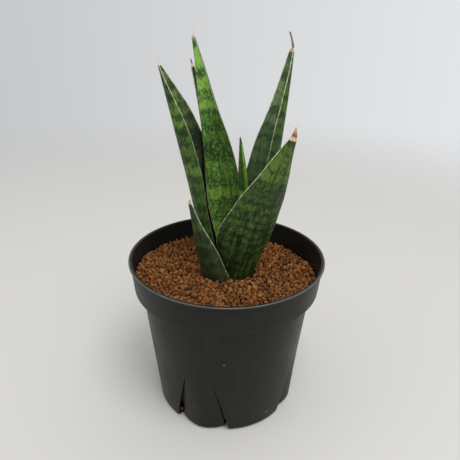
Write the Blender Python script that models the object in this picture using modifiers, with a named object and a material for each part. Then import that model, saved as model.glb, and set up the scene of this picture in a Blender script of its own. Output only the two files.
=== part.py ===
"""A potted snake plant: a slit-sided nursery pot, granular substrate, a rhizome with roots, and seven leaves.

Sizes are in millimetres and become metres when a mesh is made. The origin is on the pot's axis, on the
plane that the pot stands on. +Z is up, -Y is the front and +X is the right of the plant.
"""

import math

import bmesh
import bpy
import numpy as np
from mathutils import Vector

MM = 0.001
OBJECT_NAME = "potted_snake_plant"
GAP = 0.35  # clearance between neighbouring pieces
ROOT_CLEARANCE = 0.55  # between the rhizome and the room for it in the fill

# Pot: outer surface, from the base up
POT_WALL = 1.1
POT_HEIGHT = 101.2
LIP_RADIUS = 60.0
LIP_THICKNESS = 1.2
COLLAR_TOP_RADIUS = 58.9
COLLAR_FOOT_RADIUS = 57.3
COLLAR_FOOT_Z = 82.3
COLLAR_FOOT_CHAMFER = 0.5
WALL_TOP_RADIUS = 52.95
WALL_FOOT_RADIUS = 44.9
WALL_FOOT_Z = 1.6
FOOT_ROUNDING = 0.9
FOOT_RING_OUTER = 38.6
FOOT_RING_INNER = 29.0
RAISED_BASE_RADIUS = 26.0
RAISED_BASE_Z = 1.5
DRAIN_HOLE_RADIUS = 5.0

# Pot: four panels near the base curve more tightly than the wall. Each bulges a little at its middle and
# falls inside the wall's line at its sides, and a slit opens along both sides
PANEL_COUNT = 4
PANEL_FIRST_AZIMUTH = -109.0  # degrees from +X, anticlockwise from above
PANEL_TOP_Z = 41.0
PANEL_TOP_HALF_ANGLE = 10.0
PANEL_FOOT_HALF_ANGLE = 21.0
PANEL_DEPTH = 2.9  # at the sides, at the foot
PANEL_BULGE = 0.8  # at the middle, at the foot
PANEL_CURVE = 1.75  # power of the fall from the middle to the sides
SLIT_GAP_ANGLE = 1.5  # half of the slit's width at the foot, in degrees
PANEL_COLUMNS = 8
WALL_COLUMNS = 8

# Substrate
SUBSTRATE_GAP = 0.45  # clearance between the fill and the pot
SUBSTRATE_FLOOR = 3.2
SUBSTRATE_TOP = 90.0
SUBSTRATE_FALL = (-1.9, -1.3)  # how much the top falls from the centre to the wall along +X and +Y
SUBSTRATE_RINGS = 5

# Crown: all the leaves grow from the rhizome's top, in nested arcs round this axis
CROWN = (2.0, 3.0)
LEAF_FOOT_Z = 72.0
CROWN_CLEARANCE = 0.8  # between the leaves and the hole that they stand in
CROWN_SECTIONS = 7  # leaf sections, from the foot up, that the hole has to clear
CROWN_HOLE_FOOT = 1.5  # the hole's points this near the leaves' feet are lowered
CROWN_HOLE_DROP = 1.2  # to this far below the feet

# Rhizome and roots: (radius, height) from the top of the turned stub down its outer side
RHIZOME_PROFILE = ((0.0, 71.2), (12.0, 70.9), (15.0, 70.2), (15.8, 68.0), (14.0, 63.5), (9.0, 60.0), (0.0, 58.0))
ROOT_START_Z = 63.0
ROOT_START_RADIUS = 4.0
ROOT_COUNT = 6
ROOT_RADIUS = 2.2
ROOT_TAPER = (1.0, 0.95, 0.8, 0.6, 0.4)
ROOT_DROP = 38.0
ROOT_DROP_STEP = 2.0  # how much deeper each root goes than the one before it
ROOT_SPREAD = 27.0
ROOT_BEND = 6.0

# Leaves. Each is a channelled blade: its inner face is an arc that bends towards facing, and its outer
# face stands off by the thickness. width is half the blade's width measured round the arc, and bend is
# half the arc's angle in degrees; both, and thickness, are given at even steps from foot to tip.
#   azimuth, radius  where the keel's foot stands round the crown
#   tip              where the blade ends, spine the dry point beyond it, as steps from the tip
#   bow              how far the middle of the blade stands off the straight line in X and Y
#   twist            how far facing turns from foot to tip, in degrees
LEAVES = {
    "leaf_left": dict(
        azimuth=183, radius=8.5, tip=(-38.0, 9.5, 210.0), bow=(1.5, 0.0), twist=-19,
        width=(9.0, 12.0, 14.0, 18.5, 12.5, 0.8), bend=(61, 68, 71, 79, 91, 63),
        thickness=(1.6, 2.2, 2.0, 1.6, 1.2, 0.7), spine=[(-0.7, 0.0, 3.8)]),
    "leaf_tall": dict(
        azimuth=112, radius=3.9, tip=(-19.5, 13.5, 224.0), bow=(6.5, 0.0), twist=-80,
        width=(4.8, 7.5, 11.0, 9.5, 6.5, 1.4), bend=(71, 62, 33, 24, 53, 40),
        thickness=(1.6, 2.1, 2.0, 1.6, 1.2, 0.7), spine=[(-0.2, 0.0, 6.6)]),
    "leaf_back": dict(
        azimuth=80, radius=9.0, tip=(-22.0, 34.0, 208.0), bow=(4.0, 1.5), twist=10,
        width=(4.6, 7.0, 7.5, 6.5, 3.5, 0.7), bend=(29, 45, 45, 45, 45, 40),
        thickness=(1.4, 1.8, 1.8, 1.5, 1.1, 0.6), spine=[(-1.1, 0.0, 3.6)]),
    "leaf_young": dict(
        azimuth=318, radius=1.8, tip=(6.5, 0.5, 173.0), bow=(5.5, -1.0), twist=-3,
        width=(2.0, 3.0, 4.0, 4.0, 3.5, 0.3), bend=(64, 75, 75, 70, 70, 70),
        thickness=(1.0, 1.2, 1.2, 1.0, 0.8, 0.4), spine=[(0.0, 0.0, 1.0)]),
    "leaf_right": dict(
        azimuth=16, radius=6.1, tip=(34.5, 18.0, 218.0), bow=(3.5, -1.0), twist=8,
        width=(7.5, 10.5, 17.0, 16.0, 8.5, 1.9), bend=(70, 70, 81, 83, 88, 58),
        thickness=(1.7, 2.2, 2.0, 1.6, 1.2, 0.7), spine=[(0.2, 0.0, 2.3), (-1.9, 0.0, 9.0)]),
    "leaf_front_right": dict(
        azimuth=302, radius=10.4, tip=(34.0, -15.5, 176.5), bow=(-3.5, 0.0), twist=-10,
        width=(12.5, 15.0, 21.5, 16.5, 9.0, 1.9), bend=(69, 64, 54, 39, 24, 39),
        thickness=(2.0, 2.3, 2.2, 1.8, 1.4, 0.9), spine=[(0.7, 0.0, 6.0)]),
    "leaf_front_left": dict(
        azimuth=242, radius=13.5, tip=(-21.0, -16.5, 140.5), bow=(-0.5, -0.5), twist=-13,
        width=(9.0, 10.5, 9.5, 7.5, 3.5, 0.9), bend=(38, 55, 56, 41, 45, 60),
        thickness=(1.7, 1.9, 1.8, 1.5, 1.1, 0.6), spine=[(0.1, 0.0, 1.8)]),
}
LEAF_SECTIONS = 18
LEAF_FACE_POINTS = 7
MARGIN_THICKNESS = 0.5
SPINE_RADII = (0.45, 0.2)

# Colour, roughness and metallic of each material
MATERIALS = {
    "pot": ((0.023, 0.023, 0.021), 0.55, 0.0),
    "substrate": ((0.16, 0.065, 0.028), 0.95, 0.0),
    "rhizome": ((0.42, 0.22, 0.09), 0.8, 0.0),
    "leaf": ((0.045, 0.1, 0.022), 0.4, 0.0),
}


def clear_scene():
    for thing in list(bpy.data.objects):
        bpy.data.objects.remove(thing, do_unlink=True)


def new_collection(name):
    collection = bpy.data.collections.new(name)
    bpy.context.scene.collection.children.link(collection)
    return collection


def new_material(name):
    colour, roughness, metallic = MATERIALS[name]
    material = bpy.data.materials.new(name)
    material.use_nodes = True
    shader = material.node_tree.nodes["Principled BSDF"]
    shader.inputs["Base Color"].default_value = (*colour, 1.0)
    shader.inputs["Roughness"].default_value = roughness
    shader.inputs["Metallic"].default_value = metallic
    return material


def new_object(name, vertices, faces, collection, material=None):
    """A mesh object from points in millimetres, with its faces turned to point out."""
    mesh = bpy.data.meshes.new(name)
    shape = bmesh.new()
    corners = [shape.verts.new(Vector(point) * MM) for point in vertices]
    for face in faces:
        shape.faces.new([corners[i] for i in face])
    bmesh.ops.recalc_face_normals(shape, faces=shape.faces)
    shape.to_mesh(mesh)
    shape.free()
    if material:
        mesh.materials.append(material)
    thing = bpy.data.objects.new(name, mesh)
    collection.objects.link(thing)
    return thing


def mark_cutter(thing):
    thing.hide_render = True
    thing.display_type = "WIRE"


def cut(thing, cutter, name):
    modifier = thing.modifiers.new(name, "BOOLEAN")
    modifier.operation = "DIFFERENCE"
    modifier.solver = "EXACT"
    modifier.object = cutter


def smooth(thing, degrees=35):
    thing.data.shade_smooth()
    thing.data.set_sharp_from_angle(angle=math.radians(degrees))


def ring_faces(row_count, column_count):
    """Quads between closed rows of points, rows first."""
    faces = []
    for row in range(row_count - 1):
        for column in range(column_count):
            following = (column + 1) % column_count
            low = row * column_count
            high = low + column_count
            faces.append((low + column, low + following, high + following, high + column))
    return faces


# ---------------------------------------------------------------- pot


def wall_radius(z):
    """Radius of the tapered wall's outer face."""
    share = (z - WALL_FOOT_Z) / (COLLAR_FOOT_Z - WALL_FOOT_Z)
    return WALL_FOOT_RADIUS + (WALL_TOP_RADIUS - WALL_FOOT_RADIUS) * share


def panel_share(z):
    """0 at the top of the pressed-in panels and above, 1 at the foot of the wall."""
    return min(max((PANEL_TOP_Z - z) / (PANEL_TOP_Z - WALL_FOOT_Z), 0.0), 1.0)


def panel_half_angle(z):
    return PANEL_TOP_HALF_ANGLE + (PANEL_FOOT_HALF_ANGLE - PANEL_TOP_HALF_ANGLE) * panel_share(z)


def pot_columns(z):
    """Azimuths round the pot at height z, each with how far in a full press puts it, or None on the wall.

    A slit's line is in the list twice, once for each side of the slit."""
    step = 360.0 / PANEL_COUNT
    half = panel_half_angle(z)
    opening = SLIT_GAP_ANGLE * panel_share(z)
    columns = []
    for number in range(PANEL_COUNT):
        centre = PANEL_FIRST_AZIMUTH + number * step
        for k in range(PANEL_COLUMNS + 1):
            across = 2.0 * k / PANEL_COLUMNS - 1.0
            depth = (PANEL_DEPTH + PANEL_BULGE) * abs(across) ** PANEL_CURVE - PANEL_BULGE
            columns.append((centre + (half - opening) * across, depth))
        start = centre + half + opening
        end = centre + step - half - opening
        for k in range(WALL_COLUMNS + 1):
            columns.append((start + (end - start) * k / WALL_COLUMNS, None))
    return columns


def pot_profile():
    """Rows of the pot's outer face from the drain hole out, down and up: (radius, z, share of the press)."""
    rows = [
        (DRAIN_HOLE_RADIUS, RAISED_BASE_Z, 0.0),
        (RAISED_BASE_RADIUS, RAISED_BASE_Z, 0.0),
        (FOOT_RING_INNER, 0.0, 0.0),
        (FOOT_RING_OUTER, 0.0, 0.0),
        (WALL_FOOT_RADIUS - FOOT_ROUNDING, 0.3, 1.0),
    ]
    for z in (WALL_FOOT_Z, 8.0, 15.0, 22.0, 30.0):
        rows.append((wall_radius(z), z, panel_share(z)))
    for z in (PANEL_TOP_Z, 52.0, 67.0, COLLAR_FOOT_Z):
        rows.append((wall_radius(z), z, 0.0))
    rows.append((COLLAR_FOOT_RADIUS - COLLAR_FOOT_CHAMFER, COLLAR_FOOT_Z, 0.0))
    rows.append((COLLAR_FOOT_RADIUS, COLLAR_FOOT_Z + COLLAR_FOOT_CHAMFER, 0.0))
    rows.append((COLLAR_TOP_RADIUS, POT_HEIGHT - LIP_THICKNESS, 0.0))
    rows.append((LIP_RADIUS, POT_HEIGHT - LIP_THICKNESS, 0.0))
    return rows


def build_pot(collection):
    """One open sheet, split along the slits below the panels' tops, and thickened inwards."""
    mesh = bpy.data.meshes.new("pot")
    shape = bmesh.new()
    rows = []
    for radius, z, press in pot_profile():
        corners = []
        for azimuth, depth in pot_columns(z):
            reach = radius - press * (depth or 0.0)
            angle = math.radians(azimuth)
            point = Vector((reach * math.cos(angle), reach * math.sin(angle), z))
            corners.append(shape.verts.new(point * MM))
        rows.append(corners)
    on_panel = [depth is not None for _, depth in pot_columns(0.0)]
    count = len(on_panel)
    for low, high in zip(rows, rows[1:]):
        for k in range(count):
            following = (k + 1) % count
            if on_panel[k] == on_panel[following]:
                shape.faces.new((low[k], low[following], high[following], high[k]))
    # the two sides of a slit's line are one line wherever the wall isn't pressed in
    whole = [row for row, (_, _, press) in zip(rows, pot_profile()) if press == 0.0]
    for row in whole:
        for k in range(count):
            following = (k + 1) % count
            if on_panel[k] != on_panel[following]:
                middle = (row[k].co + row[following].co) / 2
                row[k].co = middle
                row[following].co = middle
    bmesh.ops.remove_doubles(shape, verts=shape.verts, dist=0.00001)
    bmesh.ops.recalc_face_normals(shape, faces=shape.faces)
    if sum(face.normal.dot(face.calc_center_median()) for face in shape.faces) < 0:
        bmesh.ops.reverse_faces(shape, faces=shape.faces)
    shape.to_mesh(mesh)
    shape.free()
    mesh.materials.append(new_material("pot"))
    pot = bpy.data.objects.new("pot", mesh)
    collection.objects.link(pot)
    shell = pot.modifiers.new("wall", "SOLIDIFY")
    shell.thickness = POT_WALL * MM
    shell.offset = -1.0
    shell.use_even_offset = True
    smooth(pot)
    return pot


# ---------------------------------------------------------------- substrate


def inner_radius(z, depth):
    """Radius of the pot's inner face at height z, on a column that a full press puts in by depth."""
    if z < COLLAR_FOOT_Z + POT_WALL:
        return wall_radius(z) - POT_WALL - panel_share(z) * (depth or 0.0)
    share = (z - COLLAR_FOOT_Z) / (POT_HEIGHT - COLLAR_FOOT_Z)
    return COLLAR_FOOT_RADIUS + (COLLAR_TOP_RADIUS - COLLAR_FOOT_RADIUS) * share - POT_WALL


def substrate_top(x, y):
    fall_x, fall_y = SUBSTRATE_FALL
    ripple = 0.5 * math.sin(0.13 * x + 1.0) * math.cos(0.11 * y)
    return SUBSTRATE_TOP + (fall_x * x + fall_y * y) / WALL_TOP_RADIUS + ripple


def build_substrate(collection, cutters):
    """The granular fill as one solid, with a hole for the crown and room for the roots."""
    on_panel = [depth is not None for _, depth in pot_columns(0.0)]
    count = len(on_panel)
    # a slit's line is kept once, on the panel's side
    keep = [k for k in range(count) if on_panel[k] or not (on_panel[k - 1] or on_panel[(k + 1) % count])]

    def row(z, scale=1.0, top=False, wall_z=None):
        points = []
        columns = pot_columns(z)
        for k in keep:
            azimuth, depth = columns[k]
            reach = (inner_radius(z if wall_z is None else wall_z, depth) - SUBSTRATE_GAP) * scale
            angle = math.radians(azimuth)
            x = reach * math.cos(angle)
            y = reach * math.sin(angle)
            points.append((x, y, substrate_top(x, y) if top else z))
        return points

    rows = [row(SUBSTRATE_FLOOR, 0.5), row(SUBSTRATE_FLOOR, 0.93), row(SUBSTRATE_FLOOR + 2.0)]
    for z in (12.0, 24.0, PANEL_TOP_Z, 60.0):
        rows.append(row(z))
    over_ledge = COLLAR_FOOT_Z + POT_WALL + SUBSTRATE_GAP
    rows.append(row(over_ledge, wall_z=COLLAR_FOOT_Z))
    rows.append(row(over_ledge + GAP))
    for ring in range(SUBSTRATE_RINGS):
        rows.append(row(SUBSTRATE_TOP, 1.0 - ring / SUBSTRATE_RINGS, top=True))
    count = len(keep)
    vertices = [point for points in rows for point in points]
    faces = ring_faces(len(rows), count)
    faces.append(tuple(reversed(range(count))))
    last = len(vertices) - count
    faces.append(tuple(range(last, last + count)))
    substrate = new_object("substrate", vertices, faces, collection, new_material("substrate"))
    for number, cutter in enumerate(cutters):
        cut(substrate, cutter, "room_%d" % number)
    smooth(substrate, 30)
    return substrate


# ---------------------------------------------------------------- rhizome and roots


def turned_solid(name, profile, collection, material=None):
    """A solid of revolution round the crown's axis, from (radius, height) points, top to bottom."""
    mesh = bpy.data.meshes.new(name)
    points = [Vector((radius, 0.0, z)) * MM for radius, z in profile]
    mesh.from_pydata(points, [(k, k + 1) for k in range(len(points) - 1)], [])
    if material:
        mesh.materials.append(material)
    thing = bpy.data.objects.new(name, mesh)
    thing.location = (CROWN[0] * MM, CROWN[1] * MM, 0.0)
    collection.objects.link(thing)
    screw = thing.modifiers.new("turn", "SCREW")
    screw.steps = 24
    screw.render_steps = 24
    screw.use_merge_vertices = True
    screw.merge_threshold = 0.00001
    screw.use_smooth_shade = True
    return thing


def root_path(number):
    """Points of one root: out from the stub, then down, with a slow sideways bend."""
    angle = math.tau * (number + 0.3) / ROOT_COUNT
    out = Vector((math.cos(angle), math.sin(angle), 0.0))
    side = Vector((-out.y, out.x, 0.0)) * (ROOT_BEND if number % 2 else -ROOT_BEND)
    start = Vector((*CROWN, ROOT_START_Z)) + out * ROOT_START_RADIUS
    points = []
    for k in range(len(ROOT_TAPER)):
        share = k / (len(ROOT_TAPER) - 1)
        point = start + out * ROOT_SPREAD * share ** 0.8 + side * math.sin(math.pi * share)
        point.z -= (ROOT_DROP + ROOT_DROP_STEP * number) * share ** 1.5
        points.append(point)
    return points


def root_tube(name, number, grow, collection):
    """One root as a closed tube that tapers to its end."""
    curve = bpy.data.curves.new(name, "CURVE")
    curve.dimensions = "3D"
    curve.bevel_depth = 1.0 * MM
    curve.bevel_resolution = 2
    curve.use_fill_caps = True
    line = curve.splines.new("POLY")
    line.points.add(len(ROOT_TAPER) - 1)
    for point, place, taper in zip(line.points, root_path(number), ROOT_TAPER):
        point.co = (*(place * MM), 1.0)
        point.radius = ROOT_RADIUS * taper + grow
    drawn = bpy.data.objects.new(name + "_line", curve)
    collection.objects.link(drawn)
    bpy.context.view_layer.update()
    mesh = bpy.data.meshes.new_from_object(drawn.evaluated_get(bpy.context.evaluated_depsgraph_get()))
    shape = bmesh.new()
    shape.from_mesh(mesh)
    bmesh.ops.remove_doubles(shape, verts=shape.verts, dist=0.00001)
    bmesh.ops.recalc_face_normals(shape, faces=shape.faces)
    shape.to_mesh(mesh)
    shape.free()
    bpy.data.objects.remove(drawn, do_unlink=True)
    tube = bpy.data.objects.new(name, mesh)
    collection.objects.link(tube)
    mark_cutter(tube)
    return tube


def build_rhizome(name, collection, tools, grow=0.0, material=None):
    """The stub that the leaves grow from, joined with its roots. A grown copy makes their room."""
    widest_z = max(RHIZOME_PROFILE)[1]
    profile = []
    for radius, z in RHIZOME_PROFILE:
        profile.append((radius + (grow if radius else 0.0), z + (grow if z > widest_z else -grow)))
    stub = turned_solid(name, profile, collection, material)
    for number in range(ROOT_COUNT):
        tube = root_tube("%s_root_%d" % (name, number), number, grow, tools)
        join = stub.modifiers.new("root_%d" % number, "BOOLEAN")
        join.operation = "UNION"
        join.solver = "EXACT"
        join.object = tube
    return stub


# ---------------------------------------------------------------- leaves


def along(values, share):
    """Value at share, 0 to 1, on a smooth curve through evenly spaced values."""
    last = len(values) - 1
    place = min(max(share, 0.0), 1.0) * last
    low = min(int(place), last - 1)
    s = place - low
    before = values[max(low - 1, 0)]
    after = values[min(low + 2, last)]
    start, end = values[low], values[low + 1]
    slope_start = (end - before) / (2.0 if low > 0 else 1.0)
    slope_end = (after - start) / (2.0 if low + 1 < last else 1.0)
    return (
        (2 * s ** 3 - 3 * s ** 2 + 1) * start
        + (s ** 3 - 2 * s ** 2 + s) * slope_start
        + (3 * s ** 2 - 2 * s ** 3) * end
        + (s ** 3 - s ** 2) * slope_end)


def leaf_frame(leaf, share):
    """Keel point, upward, inward and sideways directions of a leaf at share of its length."""
    angle = math.radians(leaf["azimuth"])
    foot = Vector((
        CROWN[0] + leaf["radius"] * math.cos(angle), CROWN[1] + leaf["radius"] * math.sin(angle), LEAF_FOOT_Z))
    tip = Vector(leaf["tip"])
    bow = Vector((*leaf["bow"], 0.0))
    keel = foot.lerp(tip, share) + bow * 4.0 * share * (1.0 - share)
    up = (tip - foot + bow * 4.0 * (1.0 - 2.0 * share)).normalized()
    facing = angle + math.radians(180.0 + leaf["twist"] * share)
    inward = Vector((math.cos(facing), math.sin(facing), 0.0))
    inward = (inward - up * inward.dot(up)).normalized()
    return keel, up, inward, up.cross(inward)


def leaf_section(leaf, share):
    """A closed ring of points round the blade: its inner face from margin to margin, then its outer face."""
    keel, _, inward, side = leaf_frame(leaf, share)
    width = along(leaf["width"], share)
    bend = math.radians(along(leaf["bend"], share))
    thickness = along(leaf["thickness"], share)
    inner = []
    outer = []
    for u in np.linspace(-1.0, 1.0, LEAF_FACE_POINTS):
        angle = bend * u
        point = keel + side * (width * math.sin(angle) / bend) + inward * (width * (1 - math.cos(angle)) / bend)
        away = side * math.sin(angle) - inward * math.cos(angle)
        depth = max(thickness * math.sqrt(max(1.0 - abs(u) ** 2.2, 0.0)), min(MARGIN_THICKNESS, thickness))
        inner.append(point)
        outer.append(point + away * depth)
    return inner + outer[::-1]


def crown_hole(collection):
    """The room that the leaves' feet need: the hull round their lowest sections, pushed out a little."""
    shape = bmesh.new()
    axis = Vector((*CROWN, 0.0))
    for leaf in LEAVES.values():
        for k in range(CROWN_SECTIONS):
            for point in leaf_section(leaf, k / (LEAF_SECTIONS - 1)):
                out = point - axis
                out.z = 0.0
                shape.verts.new((point + out.normalized() * CROWN_CLEARANCE) * MM)
    for vertex in list(shape.verts):
        if vertex.co.z < (LEAF_FOOT_Z + CROWN_HOLE_FOOT) * MM:
            vertex.co.z = (LEAF_FOOT_Z - CROWN_HOLE_DROP) * MM
    hull = bmesh.ops.convex_hull(shape, input=shape.verts)
    bmesh.ops.delete(shape, geom=list(set(hull["geom_interior"] + hull["geom_unused"])), context="VERTS")
    mesh = bpy.data.meshes.new("crown_hole")
    shape.to_mesh(mesh)
    shape.free()
    hole = bpy.data.objects.new("crown_hole", mesh)
    collection.objects.link(hole)
    mark_cutter(hole)
    return hole


def build_leaf(name, leaf, collection, material):
    rings = [leaf_section(leaf, k / (LEAF_SECTIONS - 1)) for k in range(LEAF_SECTIONS)]
    count = len(rings[0])
    _, _, inward, side = leaf_frame(leaf, 1.0)
    tip = Vector(leaf["tip"])
    start = len(SPINE_RADII) - len(leaf["spine"])
    for step, radius in zip(leaf["spine"], SPINE_RADII[start:]):
        ring = []
        for k in range(count):
            angle = math.pi + math.tau * (k + 0.5) / count
            ring.append(tip + Vector(step) + (side * math.cos(angle) - inward * math.sin(angle)) * radius)
        rings.append(ring)
    vertices = [point for ring in rings for point in ring]
    faces = ring_faces(len(rings), count)
    faces.append(tuple(reversed(range(count))))
    last = len(vertices) - count
    faces.append(tuple(range(last, last + count)))
    blade = new_object(name, vertices, faces, collection, material)
    smooth(blade, 60)
    return blade


def main():
    clear_scene()
    parts = new_collection(OBJECT_NAME)
    tools = new_collection(OBJECT_NAME + "_cutters")
    build_pot(parts)
    hole = crown_hole(tools)
    room = build_rhizome("root_room", tools, tools, grow=ROOT_CLEARANCE)
    mark_cutter(room)
    build_substrate(parts, [hole, room])
    build_rhizome("rhizome", parts, tools, material=new_material("rhizome"))
    leaf_material = new_material("leaf")
    for name, leaf in LEAVES.items():
        build_leaf(name, leaf, parts, leaf_material)


main()
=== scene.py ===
"""A potted snake plant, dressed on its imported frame: pot, grains, leaves, floor, light and camera.

Lengths in the tables are millimetres and become metres when a mesh is made. The frame stands on z = 0 with
its origin on the pot's axis; -Y is the front, and +X is to the right as seen from the front.
"""

import math

import bmesh
import bpy
import numpy as np
from mathutils import Euler, Matrix, Vector, noise


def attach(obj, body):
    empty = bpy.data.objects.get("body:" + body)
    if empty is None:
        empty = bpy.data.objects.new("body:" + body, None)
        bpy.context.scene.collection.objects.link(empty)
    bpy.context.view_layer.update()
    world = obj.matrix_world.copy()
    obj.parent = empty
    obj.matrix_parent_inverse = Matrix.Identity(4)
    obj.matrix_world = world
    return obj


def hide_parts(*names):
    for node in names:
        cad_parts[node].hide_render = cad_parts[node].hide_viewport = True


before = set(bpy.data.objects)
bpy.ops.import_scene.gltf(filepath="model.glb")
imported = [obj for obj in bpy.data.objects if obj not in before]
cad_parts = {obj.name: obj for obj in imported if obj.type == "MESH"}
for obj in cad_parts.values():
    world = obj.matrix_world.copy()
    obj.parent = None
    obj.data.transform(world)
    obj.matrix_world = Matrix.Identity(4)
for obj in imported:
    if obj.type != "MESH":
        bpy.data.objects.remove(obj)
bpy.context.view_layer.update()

MM = 0.001
TAU = math.tau


# ------------------------ small tools


def smoothstep(low, high, value):
    share = np.clip((value - low) / (high - low), 0.0, 1.0)
    return share * share * (3.0 - 2.0 * share)


def arc(centre_r, centre_z, radius, start, end, count):
    """Points of a profile along an arc, in degrees."""
    points = []
    for k in range(count + 1):
        angle = math.radians(start + (end - start) * k / count)
        points.append((centre_r + radius * math.cos(angle), centre_z + radius * math.sin(angle)))
    return points


def polar(reach, angle, z):
    """The point at this distance and angle, in radians, round the upright axis."""
    return (reach * math.cos(angle), reach * math.sin(angle), z)


def mesh_object(name, points, faces, material, smooth=True):
    """A mesh object from points in millimetres."""
    mesh = bpy.data.meshes.new(name)
    mesh.from_pydata([tuple(point) for point in np.asarray(points) * MM], [], faces)
    mesh.materials.append(material)
    mesh.update()
    if smooth:
        mesh.shade_smooth()
    thing = bpy.data.objects.new(name, mesh)
    bpy.context.scene.collection.objects.link(thing)
    return thing


def add_values(mesh, name, values):
    """A float for each vertex, which material nodes read by name."""
    layer = mesh.attributes.new(name, "FLOAT", "POINT")
    layer.data.foreach_set("value", np.asarray(values, np.float32))


def add_vectors(mesh, name, values):
    layer = mesh.attributes.new(name, "FLOAT_VECTOR", "POINT")
    layer.data.foreach_set("vector", np.asarray(values, np.float32).ravel())


def add_modifier(thing, kind, **settings):
    made = thing.modifiers.new(kind.lower(), kind)
    for key, value in settings.items():
        setattr(made, key, value)


class Nodes:
    """Builds the node tree of a material or a world with short calls."""

    def __init__(self, owner):
        owner.use_nodes = True
        self.owner = owner
        self.tree = owner.node_tree
        self.shader = self.tree.nodes.get("Principled BSDF")

    def feed(self, socket, value):
        if isinstance(value, bpy.types.NodeSocket):
            self.tree.links.new(value, socket)
        elif value is not None:
            socket.default_value = value

    def node(self, kind, inputs=(), **settings):
        made = self.tree.nodes.new(kind)
        for name, value in settings.items():
            setattr(made, name, value)
        for key, value in dict(inputs).items():
            self.feed(made.inputs[key], value)
        return made

    def value(self, name):
        return self.node("ShaderNodeAttribute", attribute_name=name).outputs["Fac"]

    def vector(self, name):
        return self.node("ShaderNodeAttribute", attribute_name=name).outputs["Vector"]

    def place(self):
        return self.node("ShaderNodeTexCoord").outputs["Object"]

    def scaled(self, vector, scale):
        made = self.node("ShaderNodeMapping", {"Vector": vector, "Scale": scale})
        return made.outputs["Vector"]

    def noise(self, vector, scale, detail=3.0, rough=0.5):
        made = self.node("ShaderNodeTexNoise", {
            "Vector": vector, "Scale": scale, "Detail": detail, "Roughness": rough})
        return made.outputs["Fac"]

    def cells(self, vector, scale):
        """Distance to the middle of the nearest cell, and a random number for that cell."""
        made = self.node("ShaderNodeTexVoronoi", {"Vector": vector, "Scale": scale})
        chance = self.node("ShaderNodeSeparateColor", {"Color": made.outputs["Color"]})
        return made.outputs["Distance"], chance.outputs[0]

    def math(self, operation, a, b=None, clamp=False):
        made = self.node("ShaderNodeMath", operation=operation, use_clamp=clamp)
        self.feed(made.inputs[0], a)
        self.feed(made.inputs[1], b)
        return made.outputs[0]

    def times(self, a, b):
        return self.math("MULTIPLY", a, b)

    def plus(self, a, b, clamp=False):
        return self.math("ADD", a, b, clamp)

    def centred(self, value, gain):
        """Noise about 0.5 turned into a swing about 0."""
        return self.times(self.math("SUBTRACT", value, 0.5), gain)

    def range(self, value, low, high, out_low=0.0, out_high=1.0, curve="LINEAR"):
        made = self.node("ShaderNodeMapRange", {
            "Value": value, "From Min": low, "From Max": high, "To Min": out_low, "To Max": out_high},
            interpolation_type=curve)
        return made.outputs["Result"]

    def mix(self, share, a, b, blend="MIX"):
        made = self.node("ShaderNodeMix", data_type="RGBA", blend_type=blend)
        self.feed(made.inputs["Factor"], share)
        self.feed(made.inputs["A"], a if isinstance(a, bpy.types.NodeSocket) else (*a, 1.0))
        self.feed(made.inputs["B"], b if isinstance(b, bpy.types.NodeSocket) else (*b, 1.0))
        return made.outputs["Result"]

    def bump(self, height, distance, strength):
        made = self.node("ShaderNodeBump", {"Height": height, "Distance": distance, "Strength": strength})
        return made.outputs["Normal"]

    def set(self, **inputs):
        for key, value in inputs.items():
            self.feed(self.shader.inputs[key.replace("_", " ")], value)


# ------------------------ pot

# A tapered wall under a collar and a rolled lip. At its foot are four panels, rounder than the wall: each
# stands PANEL_BULGE out in the middle and PANEL_DEPTH in at its sides, where a slit parts it from the wall.
POT_WALL = 1.1
POT_HEIGHT = 101.2
LIP_RADIUS = 60.0
BEAD_RADIUS = 0.6
COLLAR_TOP_RADIUS = 58.9
COLLAR_FOOT_RADIUS = 57.3
COLLAR_FOOT_Z = 82.3
WALL_TOP_RADIUS = 52.95
WALL_FOOT_RADIUS = 44.9
WALL_FOOT_Z = 1.6
PANEL_COUNT = 4
PANEL_FIRST_AZIMUTH = -109.0
PANEL_TOP_Z = 41.0
PANEL_TOP_HALF_ANGLE = 10.0
PANEL_FOOT_HALF_ANGLE = 21.0
PANEL_DEPTH = 2.9
PANEL_BULGE = 0.8
PANEL_CURVE = 1.75
SLIT_GAP_ANGLE = 1.5
PANEL_COLUMNS = 24
WALL_COLUMNS = 40
LIP_STEPS = 256
EDGE_BEVEL = 0.16
WELD_DISTANCE = 0.01


def wall_radius(z):
    share = (z - WALL_FOOT_Z) / (COLLAR_FOOT_Z - WALL_FOOT_Z)
    return WALL_FOOT_RADIUS + (WALL_TOP_RADIUS - WALL_FOOT_RADIUS) * share


def collar_radius(z):
    share = (z - COLLAR_FOOT_Z) / (POT_HEIGHT - COLLAR_FOOT_Z)
    return COLLAR_FOOT_RADIUS + (COLLAR_TOP_RADIUS - COLLAR_FOOT_RADIUS) * share


def inner_wall(z):
    """Radius of the pot's inner face at height z."""
    outer = wall_radius(z) if z < COLLAR_FOOT_Z + POT_WALL else collar_radius(z)
    return outer - POT_WALL


def panel_share(z):
    return min(max((PANEL_TOP_Z - z) / (PANEL_TOP_Z - WALL_FOOT_Z), 0.0), 1.0)


def panel_half_angle(z):
    return PANEL_TOP_HALF_ANGLE + (PANEL_FOOT_HALF_ANGLE - PANEL_TOP_HALF_ANGLE) * panel_share(z)


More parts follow.
